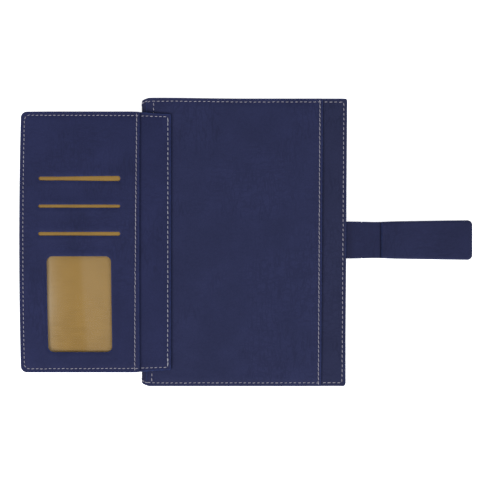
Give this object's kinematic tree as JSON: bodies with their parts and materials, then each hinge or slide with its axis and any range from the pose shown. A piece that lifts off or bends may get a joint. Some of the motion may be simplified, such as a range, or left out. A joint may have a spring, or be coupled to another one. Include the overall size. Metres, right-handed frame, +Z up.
{
  "type": "passport holder",
  "caption": "Soft book-style travel document holder with a turning card leaf, clear identity window, slip pockets and a magnetic closing strap.",
  "frame": {"origin": "centre of the footprint at the lowest face, as it lies with the front cover folded round behind the back cover, the leaf turned out and the strap out straight", "axes": "+X towards the tip of the closing strap, +Y towards the top edge of the covers, +Z up, out of the side with the card leaf"},
  "size_m": [0.328, 0.2094, 0.0183],
  "materials": {
    "navy_leather": "semi-matt fine-grained coated leather, navy",
    "navy_lining": "thin matt fine-grained coated leather, navy",
    "gold_cloth": "fine satin lining cloth, old gold",
    "clear_film": "clear soft vinyl film, glossy",
    "seam_thread": "twisted polyester thread, pale lilac grey",
    "grey_board": "pressed grey board",
    "padding_foam": "thin open foam padding",
    "stiffener_plastic": "thin black plastic sheet",
    "plated_steel": "nickel-plated disc"
  },
  "bodies": {
    "back_cover": {"back_cover_skin": "navy_leather", "back_cover_board": "grey_board", "back_cover_padding": "padding_foam", "back_cover_lining": "navy_lining", "document_pocket_panel": "navy_leather", "cover_edge_thread": "seam_thread", "pocket_edge_thread": "seam_thread", "pocket_hem_thread": "seam_thread", "strap_tail": "navy_leather", "leaf_seam_strip": "navy_leather", "leaf_seam_thread": "seam_thread"},
    "spine": {"spine_lining": "navy_lining", "spine_skin": "navy_leather"},
    "front_cover": {"front_cover_skin": "navy_leather", "front_cover_board": "grey_board", "front_cover_padding": "padding_foam", "front_cover_lining": "navy_lining", "catch_plate": "plated_steel", "passport_pocket_panel": "navy_leather", "passport_edge_thread": "seam_thread", "passport_hem_thread": "seam_thread"},
    "card_leaf": {"leaf_skin": "navy_leather", "leaf_strip": "navy_leather", "leaf_gold_lining": "gold_cloth", "card_slot_lining": "gold_cloth", "id_window_film": "clear_film", "card_pocket_panel": "navy_leather", "leaf_edge_thread": "seam_thread", "leaf_hem_thread": "seam_thread"},
    "strap_riser": {"strap_riser": "navy_leather"},
    "strap_tab": {"strap_band": "navy_leather", "strap_stiffener": "stiffener_plastic", "strap_magnet": "plated_steel", "strap_facing": "navy_leather"}
  },
  "joints": [
    {"name": "spine_fold", "type": "hinge", "parent": "back_cover", "child": "spine", "pos_m": [-0.07445, 0, 0.01185], "axis": [0, 1, 0], "range_deg": [0, 180]},
    {"name": "cover_fold", "type": "hinge", "parent": "spine", "child": "front_cover", "pos_m": [-0.07445, 0, 0.00235], "axis": [0, 1, 0], "range_deg": [0, 180]},
    {"name": "leaf_turn", "type": "hinge", "parent": "back_cover", "child": "card_leaf", "pos_m": [-0.05925, 0, 0.01655], "axis": [0, 1, 0], "range_deg": [0, 180]},
    {"name": "strap_root", "type": "hinge", "parent": "back_cover", "child": "strap_riser", "pos_m": [0.07455, 0, 0.01125], "axis": [0, -1, 0], "range_deg": [0, 90]},
    {"name": "strap_bend", "type": "hinge", "parent": "strap_riser", "child": "strap_tab", "pos_m": [0.09245, 0, 0.01125], "axis": [0, -1, 0], "range_deg": [0, 90]}
  ],
  "couplings": [
    {"joint": "cover_fold", "follows": "spine_fold", "ratio": 1},
    {"joint": "leaf_turn", "follows": "spine_fold", "ratio": 1}
  ]
}
